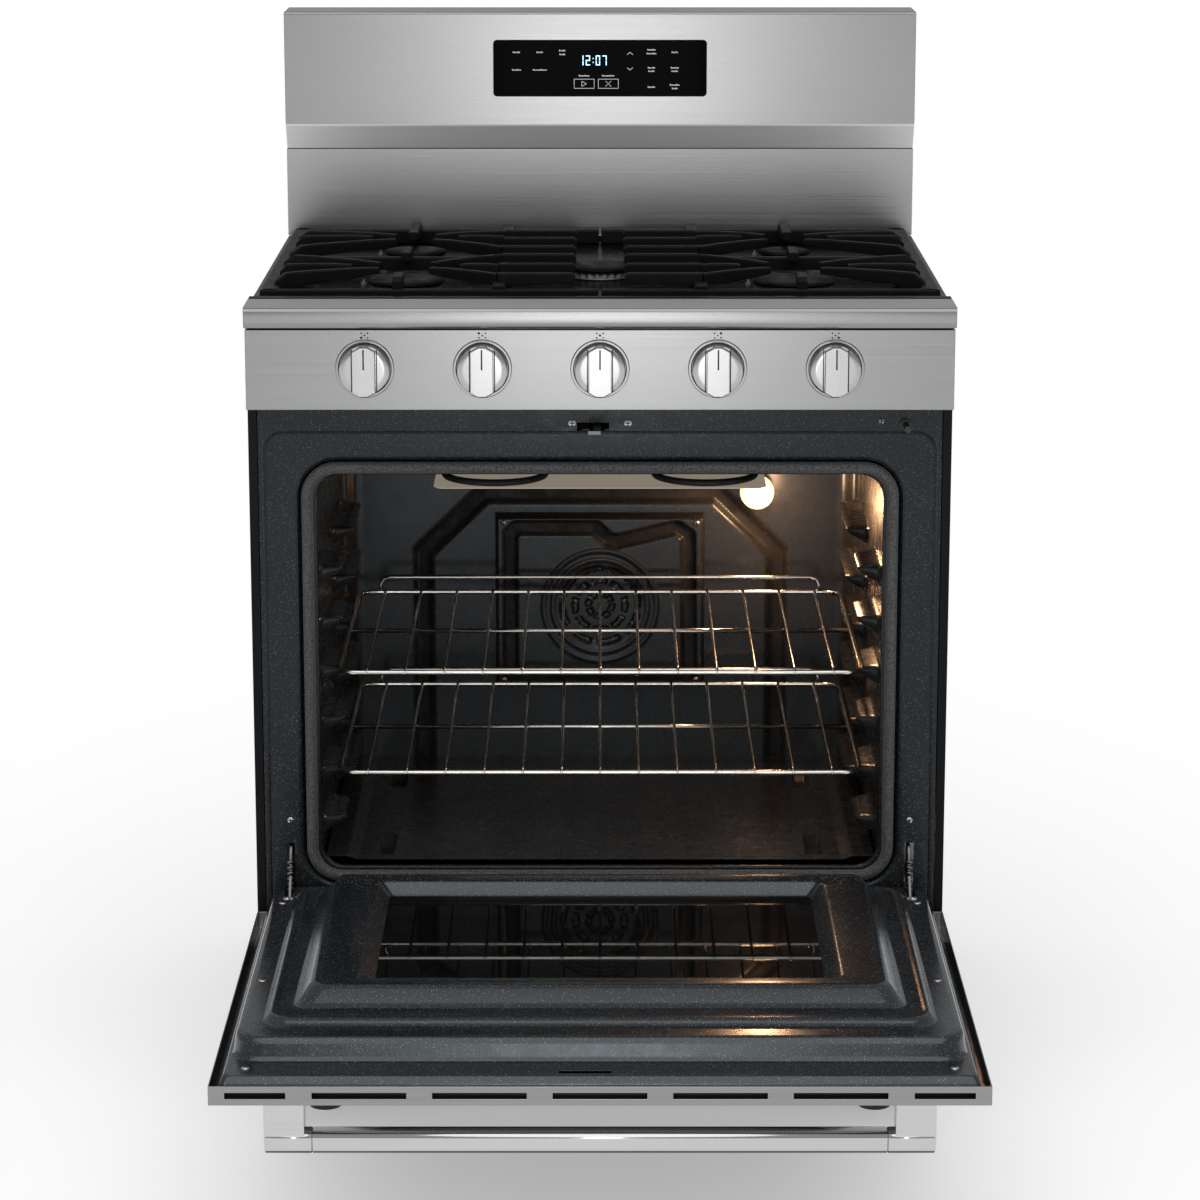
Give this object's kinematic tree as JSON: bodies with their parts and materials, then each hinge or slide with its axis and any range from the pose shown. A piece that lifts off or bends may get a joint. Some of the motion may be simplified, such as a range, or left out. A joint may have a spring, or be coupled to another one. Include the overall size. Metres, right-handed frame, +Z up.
{
  "type": "freestanding gas range",
  "caption": "Freestanding gas range with its oven door open: cast grates, push-to-turn knobs, back console with clock, wire racks, convection fan and storage drawer.",
  "frame": {"origin": "on the floor, under the middle of the outline with the oven door open", "axes": "+Z up, +X to the right of a person facing the range, -Y towards that person"},
  "size_m": [0.759, 1.212, 1.185],
  "materials": {
    "stainless": "horizontally brushed",
    "polished_steel": "polished",
    "dark_panel": "satin black paint",
    "galvanised": "zinc coated, dull",
    "speckled_enamel": "dark blue-grey porcelain with pale specks",
    "cavity_enamel": "dark grey porcelain",
    "gasket_rope": "woven glass-fibre rope",
    "cast_iron": "matt black enamel",
    "black_enamel": "gloss black porcelain",
    "burner_aluminium": "cast",
    "chrome_wire": "bright chrome",
    "steel_hardware": "satin",
    "knob_metal": "satin with bright edges",
    "brass": "plain",
    "black_glass": "gloss black",
    "window_glass": "dark tinted gloss",
    "lamp_glass": "warm, lit",
    "insulation_wool": "mineral wool",
    "black_plastic": "moulded",
    "circuit_board": "solder resist"
  },
  "bodies": {
    "range_body": {"side_panels": "dark_panel", "rear_cover": "galvanised", "base_frame": "dark_panel", "levelling_feet": "black_plastic", "oven_front_frame": "speckled_enamel", "door_gasket": "gasket_rope", "cavity_side_walls": "cavity_enamel", "cavity_ceiling": "cavity_enamel", "cavity_rear_wall": "cavity_enamel", "cavity_floor": "cavity_enamel", "oven_bottom_panel": "cavity_enamel", "fan_cover": "cavity_enamel", "fan_motor": "galvanised", "bake_burner": "steel_hardware", "broil_burner": "steel_hardware", "oven_lamp": "lamp_glass", "temperature_sensor": "steel_hardware", "oven_insulation": "insulation_wool", "hinge_arms": "steel_hardware", "cooktop_pan": "black_enamel", "burner_heads": "burner_aluminium", "burner_caps": "black_enamel", "grate_left": "cast_iron", "grate_right": "cast_iron", "gas_manifold": "steel_hardware", "burner_valves": "brass", "control_panel": "stainless", "front_trim": "stainless", "riser_panel": "stainless", "console_shell": "stainless", "display_glass": "black_glass", "control_board": "circuit_board", "drawer_guides": "galvanised", "gas_regulator": "brass", "power_inlet": "black_plastic"},
    "oven_door": {"door_skin": "stainless", "door_outer_glass": "black_glass", "door_liner": "speckled_enamel", "door_window_glass": "window_glass", "handle_bar": "polished_steel", "handle_ends": "polished_steel", "hinge_channels": "galvanised", "hinge_pins": "steel_hardware"},
    "storage_drawer": {"drawer_front": "stainless", "drawer_box": "galvanised"},
    "sliding_rack_upper": {"rack_upper": "chrome_wire"},
    "sliding_rack_lower": {"rack_lower": "chrome_wire"},
    "fan_wheel": {"convection_fan": "steel_hardware"},
    "latch": {"latch_hook": "steel_hardware"},
    "door_switch": {"door_switch_button": "black_plastic"},
    "stem_1": {"valve_stem_1": "steel_hardware"},
    "knob_cap_1": {"knob_1": "knob_metal"},
    "stem_2": {"valve_stem_2": "steel_hardware"},
    "knob_cap_2": {"knob_2": "knob_metal"},
    "stem_3": {"valve_stem_3": "steel_hardware"},
    "knob_cap_3": {"knob_3": "knob_metal"},
    "stem_4": {"valve_stem_4": "steel_hardware"},
    "knob_cap_4": {"knob_4": "knob_metal"},
    "stem_5": {"valve_stem_5": "steel_hardware"},
    "knob_cap_5": {"knob_5": "knob_metal"}
  },
  "joints": [
    {"name": "door_hinge", "type": "hinge", "parent": "range_body", "child": "oven_door", "pos_m": [0, -0.0645, 0.2605], "axis": [-1, 0, 0], "range_deg": [0, 90]},
    {"name": "drawer_slide", "type": "slide", "parent": "range_body", "child": "storage_drawer", "axis": [0, -1, 0], "range_m": [0, 0.4]},
    {"name": "upper_rack_slide", "type": "slide", "parent": "range_body", "child": "sliding_rack_upper", "axis": [0, 1, 0], "range_m": [-0.3, 0]},
    {"name": "lower_rack_slide", "type": "slide", "parent": "range_body", "child": "sliding_rack_lower", "axis": [0, 1, 0], "range_m": [-0.3, 0]},
    {"name": "fan_spin", "type": "hinge", "parent": "range_body", "child": "fan_wheel", "pos_m": [0, 0.426, 0.484], "axis": [0, 1, 0], "continuous": true},
    {"name": "latch_swing", "type": "hinge", "parent": "range_body", "child": "latch", "pos_m": [-0.003, -0.018, 0.786], "axis": [0, 0, -1], "range_deg": [0, 11]},
    {"name": "switch_press", "type": "slide", "parent": "range_body", "child": "door_switch", "axis": [0, 1, 0], "range_m": [0, 0.005], "stiffness_N_per_m": 200, "springref_m": -0.004},
    {"name": "knob_1_turn", "type": "hinge", "parent": "range_body", "child": "stem_1", "pos_m": [-0.2492, -0.094, 0.8575], "axis": [0, -1, 0], "range_deg": [0, 210]},
    {"name": "knob_1_push", "type": "slide", "parent": "stem_1", "child": "knob_cap_1", "axis": [0, 1, 0], "range_m": [0, 0.004], "stiffness_N_per_m": 800, "springref_m": -0.004},
    {"name": "knob_2_turn", "type": "hinge", "parent": "range_body", "child": "stem_2", "pos_m": [-0.1246, -0.094, 0.8575], "axis": [0, -1, 0], "range_deg": [0, 210]},
    {"name": "knob_2_push", "type": "slide", "parent": "stem_2", "child": "knob_cap_2", "axis": [0, 1, 0], "range_m": [0, 0.004], "stiffness_N_per_m": 800, "springref_m": -0.004},
    {"name": "knob_3_turn", "type": "hinge", "parent": "range_body", "child": "stem_3", "pos_m": [0, -0.094, 0.8575], "axis": [0, -1, 0], "range_deg": [0, 210]},
    {"name": "knob_3_push", "type": "slide", "parent": "stem_3", "child": "knob_cap_3", "axis": [0, 1, 0], "range_m": [0, 0.004], "stiffness_N_per_m": 800, "springref_m": -0.004},
    {"name": "knob_4_turn", "type": "hinge", "parent": "range_body", "child": "stem_4", "pos_m": [0.1246, -0.094, 0.8575], "axis": [0, -1, 0], "range_deg": [0, 210]},
    {"name": "knob_4_push", "type": "slide", "parent": "stem_4", "child": "knob_cap_4", "axis": [0, 1, 0], "range_m": [0, 0.004], "stiffness_N_per_m": 800, "springref_m": -0.004},
    {"name": "knob_5_turn", "type": "hinge", "parent": "range_body", "child": "stem_5", "pos_m": [0.2492, -0.094, 0.8575], "axis": [0, -1, 0], "range_deg": [0, 210]},
    {"name": "knob_5_push", "type": "slide", "parent": "stem_5", "child": "knob_cap_5", "axis": [0, 1, 0], "range_m": [0, 0.004], "stiffness_N_per_m": 800, "springref_m": -0.004}
  ]
}
